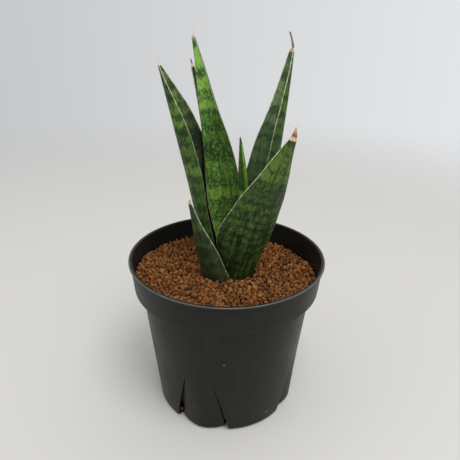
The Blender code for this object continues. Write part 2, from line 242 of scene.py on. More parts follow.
def pot_columns(z):
    """Azimuths round the pot at height z, each with how far in a full press puts it, or None on the wall."""
    step = 360.0 / PANEL_COUNT
    half = panel_half_angle(z)
    opening = SLIT_GAP_ANGLE * panel_share(z)
    columns = []
    for number in range(PANEL_COUNT):
        centre = PANEL_FIRST_AZIMUTH + number * step
        for k in range(PANEL_COLUMNS + 1):
            across = 2.0 * k / PANEL_COLUMNS - 1.0
            depth = (PANEL_DEPTH + PANEL_BULGE) * abs(across) ** PANEL_CURVE - PANEL_BULGE
            columns.append((centre + (half - opening) * across, depth))
        start = centre + half + opening
        end = centre + step - half - opening
        for k in range(WALL_COLUMNS + 1):
            columns.append((start + (end - start) * k / WALL_COLUMNS, None))
    return columns


def pot_profile():
    """(radius, z, press) rows of the outer face, from the drain hole out over the raised base and up."""
    rows = [(r, 1.5, 0.0) for r in (5.0, 14.0, 24.5)] + [(26.2, 1.3, 0.0), (28.2, 0.25, 0.0)]
    rows += [(r, 0.0, 0.0) for r in (29.0, 33.8, 38.6)]
    rows += [(41.6, 0.1, 0.55), (43.4, 0.3, 1.0), (44.3, 0.75, 1.0)]
    for z in (1.6, 3.0, 5.0, 8.0, 11.0, 14.0, 17.0, 20.0, 23.0, 26.0, 29.0, 32.0, 34.5, 36.5, 38.4, 40.0):
        rows.append((wall_radius(z), z, panel_share(z)))
    for z in (41.0, 44.0, 48.0, 55.0, 62.0, 69.0, 75.0, 79.5):
        rows.append((wall_radius(z), z, 0.0))
    # the ledge under the collar: a small hollow curve, then the collar's rounded foot
    rows += [(r, z, 0.0) for r, z in arc(WALL_TOP_RADIUS + 0.9, COLLAR_FOOT_Z - 0.9, 0.95, 180, 90, 4)]
    rows += [(r, z, 0.0) for r, z in arc(COLLAR_FOOT_RADIUS - 0.9, COLLAR_FOOT_Z + 1.0, 0.95, -90, 0, 5)]
    for share in (0.25, 0.5, 0.75, 0.93):
        z = COLLAR_FOOT_Z + (POT_HEIGHT - COLLAR_FOOT_Z) * share
        rows.append((collar_radius(z), z, 0.0))
    return rows


def pot_material():
    n = Nodes(bpy.data.materials.new("pot_plastic_black"))
    place = n.place()
    cloudy = n.noise(place, 26.0, 4.0, 0.6)
    fine = n.noise(place, 900.0, 2.0, 0.6)
    drawn = n.noise(n.scaled(place, (1.0, 1.0, 0.12)), 160.0, 3.0, 0.6)
    base = n.mix(n.range(cloudy, 0.35, 0.68), (0.0085, 0.0085, 0.0078), (0.0125, 0.0125, 0.0115))
    dusty = n.times(n.range(drawn, 0.5, 0.74), n.range(cloudy, 0.4, 0.62))
    base = n.mix(n.times(dusty, 0.3), base, (0.045, 0.042, 0.036))
    # a few specks of lime and dust
    distance, chance = n.cells(place, 62.0)
    speck = n.times(n.math("LESS_THAN", distance, 0.04), n.math("GREATER_THAN", chance, 0.3))
    base = n.mix(n.times(speck, 0.75), base, (0.32, 0.3, 0.27))
    # a painted highlight: the lip's crest is lightened to grey, unevenly
    crest_highlight_share = n.times(n.value("crest_highlight"), n.range(drawn, 0.3, 0.6, 0.55, 1.0))
    base = n.mix(crest_highlight_share, base, (0.14, 0.14, 0.137))
    rough = n.plus(n.range(cloudy, 0.3, 0.7, 0.36, 0.48), n.times(dusty, 0.15))
    relief = n.plus(n.times(fine, 0.5), n.times(drawn, 0.5))
    n.set(Base_Color=base, Roughness=rough, Specular_IOR_Level=0.2, Normal=n.bump(relief, 0.00006, 0.5))
    return n.owner


def pot_sheet():
    """The moulding's outer face as one sheet, split along the slits."""
    profile = pot_profile()
    on_panel = [depth is not None for _, depth in pot_columns(0.0)]
    count = len(on_panel)
    slits = [k for k in range(count) if on_panel[k] != on_panel[(k + 1) % count]]
    shape = bmesh.new()
    rows = []
    for radius, z, press in profile:
        row = []
        for azimuth, depth in pot_columns(z):
            point = polar(radius - press * (depth or 0.0), math.radians(azimuth), z)
            row.append(shape.verts.new(Vector(point) * MM))
        rows.append(row)
    for low, high in zip(rows, rows[1:]):
        for k in range(count):
            following = (k + 1) % count
            if k not in slits:
                shape.faces.new((low[k], low[following], high[following], high[k]))
    # above and below the panels the two sides of each slit meet
    for row, (_, _, press) in zip(rows, profile):
        if press == 0.0:
            for k in slits:
                sides = (row[k], row[(k + 1) % count])
                middle = (sides[0].co + sides[1].co) / 2
                for vertex in sides:
                    vertex.co = middle
    bmesh.ops.remove_doubles(shape, verts=shape.verts, dist=WELD_DISTANCE * MM)
    bmesh.ops.recalc_face_normals(shape, faces=shape.faces)
    if sum(face.normal.dot(face.calc_center_median()) for face in shape.faces) < 0:
        bmesh.ops.reverse_faces(shape, faces=shape.faces)
    mesh = bpy.data.meshes.new("pot_shell")
    shape.to_mesh(mesh)
    shape.free()
    return mesh


def build_shell(material):
    """The sheet, with its wall from Solidify and its edges eased."""
    mesh = pot_sheet()
    mesh.materials.append(material)
    mesh.shade_smooth()
    # the shell takes none of the lip's painted highlight
    add_values(mesh, "crest_highlight", np.zeros(len(mesh.vertices)))
    shell = bpy.data.objects.new("pot_shell", mesh)
    bpy.context.scene.collection.objects.link(shell)
    add_modifier(shell, "SOLIDIFY", thickness=POT_WALL * MM, offset=-1.0, use_even_offset=True)
    add_modifier(shell, "BEVEL", width=EDGE_BEVEL * MM, segments=2, limit_method="ANGLE",
                 angle_limit=math.radians(50))
    add_modifier(shell, "WEIGHTED_NORMAL", keep_sharp=True)
    return shell


def build_lip(material):
    """A rolled bead with a small flat on top, turned as one ring on the collar, a little out of true."""
    edge = COLLAR_TOP_RADIUS
    top = POT_HEIGHT
    ring = [(edge - 0.18, top - 2.8), (edge - 0.05, top - 1.6), (edge + 0.05, top - 1.3)]
    ring += arc(LIP_RADIUS - BEAD_RADIUS, top - 0.62, BEAD_RADIUS, -90, 90, 10)
    ring += [(edge, top - 0.12)]
    ring += arc(edge - 0.6, top - 0.6, 0.58, 90, 180, 5)
    ring += [(edge - 1.28, top - 2.0), (edge - 1.35, top - 2.8)]
    width = len(ring)
    points = []
    faces = []
    for k in range(LIP_STEPS):
        angle = TAU * k / LIP_STEPS
        waver = 0.048 * math.sin(3 * angle + 0.6) + 0.028 * math.sin(7 * angle)
        following = (k + 1) % LIP_STEPS
        for j, (r, z) in enumerate(ring):
            points.append(polar(r + waver, angle, z))
            after = (j + 1) % width
            faces.append((k * width + j, following * width + j, following * width + after, k * width + after))
    lip = mesh_object("pot_lip", points, faces, material)
    lip.data.set_sharp_from_angle(angle=math.radians(60))
    # a painted highlight on the bead's crest
    crest = [np.clip((z - top + 0.5) / 0.35, 0.0, 1.0) * (r > edge + 0.1) for r, z in ring]
    add_values(lip.data, "crest_highlight", np.tile(crest, LIP_STEPS))
    return lip


def build_pot():
    material = pot_material()
    for piece in (build_shell(material), build_lip(material)):
        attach(piece, "root")
        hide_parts("pot")


# ------------------------ leaves

# Each leaf is a channelled blade: its inner face is an arc that bends towards facing. width is half the
# blade's width measured round the arc, and bend half the arc's angle in degrees; both, and thickness, are
# given at even steps from foot to tip. azimuth and radius place the foot round the crown, bow is how far the
# middle stands off the straight line, twist how far facing turns, and spine the dry point beyond the tip.
CROWN = (2.0, 3.0)
LEAF_FOOT_Z = 72.0
LEAF_ROWS = 260
LEAF_FACE_POINTS = 41
CROSS_POWER = 2.2  # of the blade's thickness across its width
MARGIN_THICKNESS = 0.5
MARGIN_BEAD = 0.2
MARGIN_WANDER = 0.014
RIB_HEIGHTS = (0.12, 0.13)  # on the inner and outer face
GROOVE_DEPTH = 0.28
SPINE_ROWS = 12
SPINE_CURL = 0.15

LEAVES = {
    "leaf_left": dict(
        azimuth=183, radius=8.5, tip=(-38.0, 9.5, 210.0), bow=(1.5, 0.0), twist=-19,
        width=(9.0, 12.0, 14.0, 18.5, 12.5, 0.8), bend=(61, 68, 71, 79, 91, 63),
        thickness=(1.6, 2.2, 2.0, 1.6, 1.2, 0.7), spine=[(-0.7, 0.0, 3.8)]),
    "leaf_tall": dict(
        azimuth=112, radius=3.9, tip=(-19.5, 13.5, 224.0), bow=(6.5, 0.0), twist=-80,
        width=(4.8, 7.5, 11.0, 9.5, 6.5, 1.4), bend=(71, 62, 33, 24, 53, 40),
        thickness=(1.6, 2.1, 2.0, 1.6, 1.2, 0.7), spine=[(-0.2, 0.0, 6.6)]),
    "leaf_back": dict(
        azimuth=80, radius=9.0, tip=(-22.0, 34.0, 208.0), bow=(4.0, 1.5), twist=10,
        width=(4.6, 7.0, 7.5, 6.5, 3.5, 0.7), bend=(29, 45, 45, 45, 45, 40),
        thickness=(1.4, 1.8, 1.8, 1.5, 1.1, 0.6), spine=[(-1.1, 0.0, 3.6)]),
    "leaf_young": dict(
        azimuth=318, radius=1.8, tip=(6.5, 0.5, 173.0), bow=(5.5, -1.0), twist=-3,
        width=(2.0, 3.0, 4.0, 4.0, 3.5, 0.3), bend=(64, 75, 75, 70, 70, 70),
        thickness=(1.0, 1.2, 1.2, 1.0, 0.8, 0.4), spine=[(0.0, 0.0, 1.0)]),
    "leaf_right": dict(
        azimuth=16, radius=6.1, tip=(34.5, 18.0, 218.0), bow=(3.5, -1.0), twist=8,
        width=(7.5, 10.5, 17.0, 16.0, 8.5, 1.9), bend=(70, 70, 81, 83, 88, 58),
        thickness=(1.7, 2.2, 2.0, 1.6, 1.2, 0.7), spine=[(0.2, 0.0, 2.3), (-1.9, 0.0, 9.0)]),
    "leaf_front_right": dict(
        azimuth=302, radius=10.4, tip=(34.0, -15.5, 176.5), bow=(-3.5, 0.0), twist=-10,
        width=(12.5, 15.0, 21.5, 16.5, 9.0, 1.9), bend=(69, 64, 54, 39, 24, 39),
        thickness=(2.0, 2.3, 2.2, 1.8, 1.4, 0.9), spine=[(0.7, 0.0, 6.0)]),
    "leaf_front_left": dict(
        azimuth=242, radius=13.5, tip=(-21.0, -16.5, 140.5), bow=(-0.5, -0.5), twist=-13,
        width=(9.0, 10.5, 9.5, 7.5, 3.5, 0.9), bend=(38, 55, 56, 41, 45, 60),
        thickness=(1.7, 1.9, 1.8, 1.5, 1.1, 0.6), spine=[(0.1, 0.0, 1.8)]),
}

# Cross bands of light green on each leaf: (share of the length, half height in mm, strength), and a fourth
# number, -1 or 1, where a band keeps to one half of the blade. Such one-sided bands are painted light on the
# lit half.
BANDS = {
    "leaf_left": dict(
        outer=[(0.955, 4.5, 0.4), (0.905, 1.6, 0.3), (0.83, 3.4, 0.7), (0.775, 2.4, 0.8), (0.72, 1.6, 0.35),
               (0.665, 2.2, 0.4), (0.595, 3.2, 0.65), (0.535, 2.0, 0.3), (0.47, 2.4, 0.3), (0.4, 2.4, 0.35),
               (0.33, 2.8, 0.35)],
        inner=[(0.95, 4.0, 0.6), (0.87, 2.8, 0.7), (0.81, 2.4, 0.6), (0.75, 2.4, 0.4), (0.62, 4.0, 0.3)]),
    "leaf_tall": dict(
        outer=[(0.92, 6.0, 0.7), (0.8, 5.0, 0.7), (0.68, 5.0, 0.6), (0.57, 4.0, 0.5), (0.45, 5.0, 0.5),
               (0.33, 4.0, 0.5)],
        inner=[(0.928, 4.8, 1.0), (0.847, 3.1, 0.9), (0.804, 1.2, 0.4), (0.77, 3.0, 0.75), (0.72, 1.6, 0.3),
               (0.655, 2.6, 0.2), (0.525, 4.4, 0.3), (0.435, 3.4, 0.65), (0.36, 3.4, 0.25),
               (0.285, 6.5, 0.45)]),
    "leaf_back": dict(
        outer=[(0.9, 4.0, 0.6), (0.8, 4.5, 0.7), (0.7, 4.0, 0.6), (0.58, 5.0, 0.6), (0.46, 4.0, 0.5),
               (0.36, 4.0, 0.5)],
        inner=[(0.85, 4.0, 0.5), (0.7, 4.5, 0.5), (0.55, 4.0, 0.5)]),
    "leaf_young": dict(
        # painted light: these two long bands light one half of the folded young blade, leaving the other in
        # painted shade
        outer=[(0.92, 6.0, 0.85, -1), (0.74, 11.0, 0.95, -1), (0.66, 4.2, 0.55), (0.545, 4.4, 0.6),
               (0.43, 4.0, 0.5)],
        inner=[(0.8, 6.0, 0.6), (0.6, 5.0, 0.6)]),
    "leaf_right": dict(
        outer=[(0.915, 2.6, 0.6), (0.862, 3.0, 0.8), (0.8, 2.8, 0.85), (0.745, 2.2, 0.8), (0.705, 2.2, 0.7),
               (0.65, 2.2, 0.5), (0.59, 2.6, 0.5), (0.5, 2.6, 0.5), (0.42, 2.4, 0.4)],
        inner=[(0.945, 2.6, 0.4), (0.87, 3.6, 0.75), (0.817, 3.2, 0.85), (0.742, 2.4, 0.65),
               (0.69, 1.6, 0.3), (0.64, 2.2, 0.3), (0.585, 2.8, 0.25), (0.5, 3.0, 0.2)]),
    "leaf_front_right": dict(
        outer=[(0.947, 1.5, 0.75), (0.91, 1.8, 0.8), (0.861, 3.4, 1.0), (0.79, 2.6, 0.95),
               (0.735, 0.9, 0.25), (0.69, 1.1, 0.3), (0.655, 1.1, 0.4), (0.605, 1.3, 0.6),
               (0.555, 1.1, 0.55), (0.51, 1.2, 0.7), (0.462, 1.2, 0.7), (0.412, 1.3, 0.65),
               (0.36, 1.1, 0.55), (0.3, 1.1, 0.4), (0.24, 1.1, 0.3)],
        inner=[(0.86, 3.5, 0.7), (0.75, 3.5, 0.7), (0.64, 3.5, 0.6), (0.53, 3.5, 0.6)]),
    "leaf_front_left": dict(
        outer=[(0.79, 2.4, 0.6), (0.62, 1.8, 0.6), (0.46, 2.0, 0.5), (0.34, 2.0, 0.4)],
        inner=[(0.8, 3.0, 0.6), (0.6, 3.0, 0.6)]),
}

# How each leaf differs. outer and inner are the dark and light greens of its faces, and inner_tip_light is
# painted light that brightens the inner face near the tip. worms, cloud and speckle are the strengths of the
# mottling, patchy of the gaps in the bands, and grooves of the creases, whose darkening is painted shade. rim
# is the pale margin, which fades over rim_fade mm from the tip, and cap the dry cream part of the blade in
# mm. The dry tip runs from cream to spine and spine_end, with its radii at root and end. taper is how soon it
# narrows, and roundness how round it is.
LOOKS = {
    # leaf_left's inner face is kept dark as painted shade down in its channel, and lit near the tip as
    # painted light
    "leaf_left": dict(
        outer=((0.018, 0.046, 0.014), (0.15, 0.3, 0.045)), inner=((0.012, 0.026, 0.01), (0.08, 0.13, 0.04)),
        worms=0.25, cloud=0.22, speckle=0.3, patchy=0.8, rim=0.5, rim_fade=(25.0, 65.0), cap=0.6,
        cream=(0.76, 0.62, 0.4), spine=(0.74, 0.56, 0.38), spine_radii=(0.34, 0.14), taper=6.0,
        inner_tip_light=(3.0, 2.6, 2.8)),
    "leaf_tall": dict(
        outer=((0.028, 0.075, 0.024), (0.11, 0.23, 0.05)), inner=((0.046, 0.108, 0.03), (0.3, 0.6, 0.08)),
        worms=0.14, cloud=0.13, speckle=0.75, rim=0.25, cap=0.5, cream=(0.78, 0.62, 0.42),
        spine=(0.85, 0.7, 0.55), spine_radii=(0.36, 0.2), taper=7.0, inner_tip_light=(1.45, 1.4, 1.8)),
    "leaf_back": dict(
        outer=((0.025, 0.07, 0.022), (0.09, 0.2, 0.04)), inner=((0.02, 0.05, 0.016), (0.08, 0.17, 0.03)),
        worms=0.3, cloud=0.2, speckle=0.25, rim=0.4, cap=0.7, cream=(0.76, 0.62, 0.36),
        spine=(0.16, 0.1, 0.065), spine_radii=(0.5, 0.36), taper=5.0),
    # leaf_young's pale outer green is the painted light on its lit half
    "leaf_young": dict(
        outer=((0.025, 0.065, 0.015), (0.28, 0.56, 0.06)), inner=((0.02, 0.055, 0.015), (0.06, 0.13, 0.025)),
        worms=0.0, cloud=0.1, speckle=0.1, patchy=0.2, rim=0.1, cap=0.2, cream=(0.2, 0.25, 0.08),
        spine=(0.12, 0.17, 0.05), spine_radii=(0.2, 0.1)),
    # leaf_right's inner greens are greyed and lightened as a painted sheen
    "leaf_right": dict(
        outer=((0.015, 0.04, 0.011), (0.078, 0.155, 0.022)), inner=((0.056, 0.118, 0.042), (0.27, 0.4, 0.18)),
        worms=0.25, cloud=0.25, speckle=0.3, patchy=0.7, rim=0.65, rim_fade=(35.0, 80.0), cap=1.0,
        cream=(0.7, 0.54, 0.3), spine=(0.24, 0.19, 0.14), spine_radii=(0.8, 0.5), taper=5.0),
    "leaf_front_right": dict(
        outer=((0.019, 0.041, 0.013), (0.118, 0.208, 0.038)), inner=((0.025, 0.06, 0.02), (0.09, 0.18, 0.04)),
        worms=0.34, cloud=0.24, speckle=0.4, patchy=0.8, grooves=0.75, rim=0.8, cap=1.0,
        cream=(0.76, 0.58, 0.32), spine=(0.3, 0.12, 0.05), spine_radii=(0.5, 0.35), taper=1.0,
        roundness=0.3, spine_end=(0.6, 0.38, 0.27)),
    "leaf_front_left": dict(
        outer=((0.03, 0.052, 0.022), (0.095, 0.15, 0.05)), inner=((0.025, 0.05, 0.02), (0.07, 0.13, 0.035)),
        worms=0.3, cloud=0.3, speckle=0.2, grooves=0.5, rim=0.65, cap=0.6, cream=(0.64, 0.44, 0.24),
        spine=(0.34, 0.16, 0.08), spine_radii=(0.4, 0.3), taper=1.3, roundness=0.4),
}
LOOK_DEFAULTS = dict(
    patchy=0.6, grooves=0.3, rim_fade=(200.0, 300.0), inner_tip_light=(1.0, 1.0, 1.0), taper=3.0, roundness=0.8)


def look_of(name):
    return {**LOOK_DEFAULTS, "spine_end": LOOKS[name]["spine"], **LOOKS[name]}


def along(values, share):
    """Value at share, 0 to 1, on a smooth curve through evenly spaced values."""
    last = len(values) - 1
    place = min(max(share, 0.0), 1.0) * last
    low = min(int(place), last - 1)
    s = place - low
    before = values[max(low - 1, 0)]
    after = values[min(low + 2, last)]
    start, end = values[low], values[low + 1]
    slope_start = (end - before) / (2.0 if low > 0 else 1.0)
    slope_end = (after - start) / (2.0 if low + 1 < last else 1.0)
    return (
        (2 * s ** 3 - 3 * s ** 2 + 1) * start
        + (s ** 3 - 2 * s ** 2 + s) * slope_start
        + (3 * s ** 2 - 2 * s ** 3) * end
        + (s ** 3 - s ** 2) * slope_end)


def leaf_frame(leaf, share):
    """Keel point, upward, inward and sideways directions of a leaf at share of its length."""
    angle = math.radians(leaf["azimuth"])
    foot = Vector(polar(leaf["radius"], angle, LEAF_FOOT_Z)) + Vector((*CROWN, 0.0))
    tip = Vector(leaf["tip"])
    bow = Vector((*leaf["bow"], 0.0))
    keel = foot.lerp(tip, share) + bow * 4.0 * share * (1.0 - share)
    up = (tip - foot + bow * 4.0 * (1.0 - 2.0 * share)).normalized()
    facing = angle + math.radians(180.0 + leaf["twist"] * share)
    inward = Vector((math.cos(facing), math.sin(facing), 0.0))
    inward = (inward - up * inward.dot(up)).normalized()
    return keel, up, inward, up.cross(inward)


def scramble(ix, iy, seed):
    """A repeatable number from -1 to 1 for each whole-number pair, by an integer hash."""
    code = (ix * 374761393 + iy * 668265263 + int(seed * 8191)) & 0xFFFFFFFF
    code = ((code ^ (code >> 13)) * 1274126177) & 0xFFFFFFFF
    return (code ^ (code >> 16)) / 2147483648.0 - 1.0


def field(x, y, seed, octaves=3, rough=0.5):
    """Smooth noise over arrays, about -1 to 1, with features about 1 wide."""
    x, y = np.broadcast_arrays(np.asarray(x, float), np.asarray(y, float))
    total = np.zeros(x.shape)
    weight = 1.0
    norm = 0.0
    for octave in range(octaves):
        px = x * 2.0 ** octave + 17.3 * octave
        py = y * 2.0 ** octave + 9.1 * octave
        ix = np.floor(px).astype(np.int64)
        iy = np.floor(py).astype(np.int64)
        fx, fy = (f ** 3 * (f * (f * 6.0 - 15.0) + 10.0) for f in (px - ix, py - iy))
        low = scramble(ix, iy, seed) * (1 - fx) + scramble(ix + 1, iy, seed) * fx
        high = scramble(ix, iy + 1, seed) * (1 - fx) + scramble(ix + 1, iy + 1, seed) * fx
        total += weight * (low * (1 - fy) + high * fy)
        norm += weight
        weight *= rough
    return total / norm * 1.5


def leaf_tone(bands, length, u_mm, v_mm, u, seed, look):
    """How light the green is: cross bands with ragged, streaky edges, and mottling between them."""
    sway = 0.9 * field(u_mm / 8.0, v_mm / 14.0, seed + 2, 2)
    zigzag = 0.9 * field(u_mm / 1.8, v_mm / 6.0, seed + 3, 2)
    fray = field(u_mm / 0.6, v_mm / 2.6, seed + 4, 2)
    gaps = smoothstep(0.05, 0.6, field(u_mm / 1.4, v_mm / 3.4, seed + 5, 3, 0.65)) * look["patchy"]
    tone = np.zeros(u_mm.shape)
    for centre, half, strength, *side in bands:
        away = np.abs(v_mm - centre * length + sway + zigzag + fray) - half
        inside_band = smoothstep(1.0, -1.0, away)
        # a one-sided band is painted light on the lit half of the blade
        if side:
            inside_band = inside_band * smoothstep(-0.5, 0.1, u * side[0])
        tone = np.maximum(tone, inside_band * strength)
    tone = tone * (1.0 - gaps)
    # between the bands: fine light worms that lie across the blade, a soft cloud and pinpricks
    worms = smoothstep(0.2, 0.03, np.abs(field(u_mm / 1.7, v_mm / 1.5, seed + 6, 3, 0.65)))
    worms = worms * smoothstep(-0.3, 0.4, field(u_mm / 4.0, v_mm / 5.0, seed + 8, 2))
    cloud = look["cloud"] * smoothstep(-0.3, 0.7, field(u_mm / 2.2, v_mm / 3.6, seed + 9, 4, 0.7))
    dots = smoothstep(0.35, 0.7, field(u_mm / 0.55, v_mm / 0.9, seed + 7, 2, 0.6))
    return np.clip(tone + (look["worms"] * worms + cloud) * (1.0 - tone) + look["speckle"] * dots, 0.0, 1.0)


def blade_rows(leaf):
    """Arrays of the blade's shares, keel points, directions, half widths, bends and thicknesses."""
    shares = 1.0 - (1.0 - np.linspace(0.0, 1.0, LEAF_ROWS)) ** 1.12
    frames = [leaf_frame(leaf, share) for share in shares]
    keel, inward, side = (np.array([made[k] for made in frames]) for k in (0, 2, 3))
    width, bend, thickness = (
        np.array([along(leaf[key], share) for share in shares]) for key in ("width", "bend", "thickness"))
    return shares, keel, inward, side, width, np.radians(bend), thickness


def blade_rings(name, leaf, look, seed):
    """Rings of points round the blade from foot to tip, and the values its material reads at each point."""
    shares, keel, inward, side, width, bend, thickness = blade_rows(leaf)
    length = (Vector(leaf["tip"]) - leaf_frame(leaf, 0.0)[0]).length
    even = np.linspace(-1.0, 1.0, LEAF_FACE_POINTS)
    us = (0.5 * np.sin(even * math.pi / 2) + 0.5 * even)[None, :]
    # margins that wander a little
    loose = MARGIN_WANDER * np.clip((1 - shares) * 8, 0, 1)
    left = 1.0 + loose * field(shares * length / 9.0, 0.5, seed + 20, 3)
    right = 1.0 + loose * field(shares * length / 9.0, 7.5, seed + 21, 3)
    angle = bend[:, None] * us * np.where(us > 0, right[:, None], left[:, None])
    radius = (width / bend)[:, None]
    across = (radius * np.sin(angle))[..., None] * side[:, None, :]
    rise = (radius * (1.0 - np.cos(angle)))[..., None] * inward[:, None, :]
    base = keel[:, None, :] + across + rise
    away = np.sin(angle)[..., None] * side[:, None, :] - np.cos(angle)[..., None] * inward[:, None, :]
    u_mm = us * width[:, None]
    v_mm = (shares * length)[:, None] + 0.0 * u_mm
    # low ribs and grooves run the length of the blade, and fade towards its tip and margins
    fade = np.clip((1.0 - shares) * 6.0, 0.0, 1.0)[:, None] * (1.0 - np.abs(us) ** 6)
    rib_in = RIB_HEIGHTS[0] * field(u_mm / 1.9, v_mm / 60.0, seed + 30, 2) * fade
    rib_out = RIB_HEIGHTS[1] * field(u_mm / 2.1, v_mm / 55.0, seed + 31, 2) * fade
    groove = smoothstep(0.3, 0.6, field(u_mm / 1.3, v_mm / 24.0, seed + 32, 2)) * fade * look["grooves"]
    swell = np.sqrt(np.maximum(1.0 - np.abs(us) ** CROSS_POWER, 0.0)) * thickness[:, None]
    depth = np.maximum(swell, np.minimum(MARGIN_THICKNESS, thickness)[:, None])
    inner = base - away * rib_in[..., None]
    outer = base + away * (depth + rib_out - GROOVE_DEPTH * groove)[..., None]

    def rounded_margin(k, sign):
        """Two points in each row that round the margin over, from the inner face to the outer."""
        outward = (np.cos(angle[:, k])[:, None] * side + np.sin(angle[:, k])[:, None] * inward) * sign
        bead = outward * np.minimum(MARGIN_BEAD, width * 0.2)[:, None]
        return np.stack([inner[:, k] * (1 - s) + outer[:, k] * s + bead for s in (0.2, 0.8)], axis=1)

    def round_ring(on_inner, on_outer, right_edge=0.0, left_edge=0.0):
        """Values for a ring: the inner face, the right margin, the outer face and the left margin."""
        pair = np.ones((LEAF_ROWS, 2))
        return np.concatenate([on_inner, pair * right_edge, on_outer[:, ::-1], pair * left_edge], axis=1)

    rings = np.concatenate(
        [inner, rounded_margin(-1, 1.0), outer[:, ::-1], rounded_margin(0, -1.0)[:, ::-1]], axis=1)
    tone_in = leaf_tone(BANDS[name]["inner"], length, u_mm, v_mm, us, seed, look)
    tone_out = leaf_tone(BANDS[name]["outer"], length, u_mm, v_mm, us, seed + 10, look)
    from_edge = (1.0 - np.abs(us)) * width[:, None]
    up_edge = (shares * length)[:, None]
    values = dict(
        tone=round_ring(tone_in, tone_out),
        margin=round_ring(from_edge, from_edge),
        from_tip=round_ring(length - v_mm, length - v_mm, length - up_edge, length - up_edge),
        on_inner=round_ring(1.0 + 0.0 * u_mm, 0.0 * u_mm, 0.5, 0.5),
        groove=round_ring(0.0 * u_mm, groove),
        u=round_ring(u_mm, u_mm, width[:, None], -width[:, None]),
        v=round_ring(v_mm, v_mm, up_edge, up_edge))
    return rings, values, side[-1], inward[-1], length


def spine_rings(leaf, look, end, side, inward):
    """Rings of the dry point beyond the blade's last ring, end, and each ring's distance from it."""
    centre = end.mean(axis=0)
    wide = np.linalg.norm(end - centre, axis=1).max()
    turn = (TAU * (np.arange(len(end)) + 0.5) / len(end))[:, None]
    circle = np.sin(turn) * inward - np.cos(turn) * side
    stops = [np.zeros(3)] + [np.array(step) for step in leaf["spine"]]
    root, point = look["spine_radii"]
    rings = []
    distances = []
    gone = 0.0
    for k in range(len(stops) - 1):
        step = stops[k + 1] - stops[k]
        thick_start = wide if k == 0 else root
        thick_end = root if k == 0 and len(stops) > 2 else point
        for j in range(1, SPINE_ROWS + 1):
            share = j / SPINE_ROWS
            middle = centre + stops[k] + step * share
            middle = middle + np.array((math.sin(share * math.pi) * SPINE_CURL, 0.0, 0.0))
            thick = thick_end + (thick_start - thick_end) * (1.0 - share) ** look["taper"]
            # from the blade's flat end to a round spine
            roundness = min(1.0, share * 1.5) * look["roundness"] if k == 0 else 1.0
            flat = (end - centre) * (thick / wide)
            rings.append(middle + flat * (1.0 - roundness) + circle * thick * roundness)
            distances.append(gone + np.linalg.norm(step) * share)
        gone += np.linalg.norm(step)
    return np.array(rings), np.array(distances)


def build_leaf(name, leaf, number):
    """One blade as a closed loft, with the dry spine beyond its tip."""
    look = look_of(name)
    seed = 3 + number * 40
    blade, values, side, inward, length = blade_rings(name, leaf, look, seed)
    spine, beyond = spine_rings(leaf, look, blade[-1], side, inward)
    points = np.concatenate([blade, spine], axis=0)
    rows, count = points.shape[:2]
    for key in values:
        tail = {"from_tip": -beyond, "v": length + beyond}.get(key, 0.0 * beyond)
        tail = tail[:, None] + np.zeros((1, count))
        values[key] = np.concatenate([values[key], tail], axis=0).ravel()
    index = np.arange(rows * count).reshape(rows, count)
    low = index[:-1]
    high = index[1:]
    quads = np.stack([low, np.roll(low, -1, 1), np.roll(high, -1, 1), high], axis=-1).reshape(-1, 4)
    faces = [tuple(quad) for quad in quads.tolist()]
    faces.append(tuple(reversed(index[0].tolist())))
    faces.append(tuple(index[-1].tolist()))
    piece = mesh_object(name + "_blade", points.reshape(-1, 3), faces, leaf_material(name))
    mesh = piece.data
    shape = bmesh.new()
    shape.from_mesh(mesh)
    bmesh.ops.recalc_face_normals(shape, faces=shape.faces)
    shape.to_mesh(mesh)
    shape.free()
    mesh.shade_smooth()
    mesh.set_sharp_from_angle(angle=math.radians(75))
    for key in ("tone", "margin", "from_tip", "on_inner", "groove"):
        add_values(mesh, key, values[key])
    layer = values["on_inner"] * 40.0 + seed  # sets the two faces' patterns apart
    add_vectors(mesh, "place", np.stack([values["u"], values["v"], layer], axis=-1))
    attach(piece, "root")
    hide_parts(name)


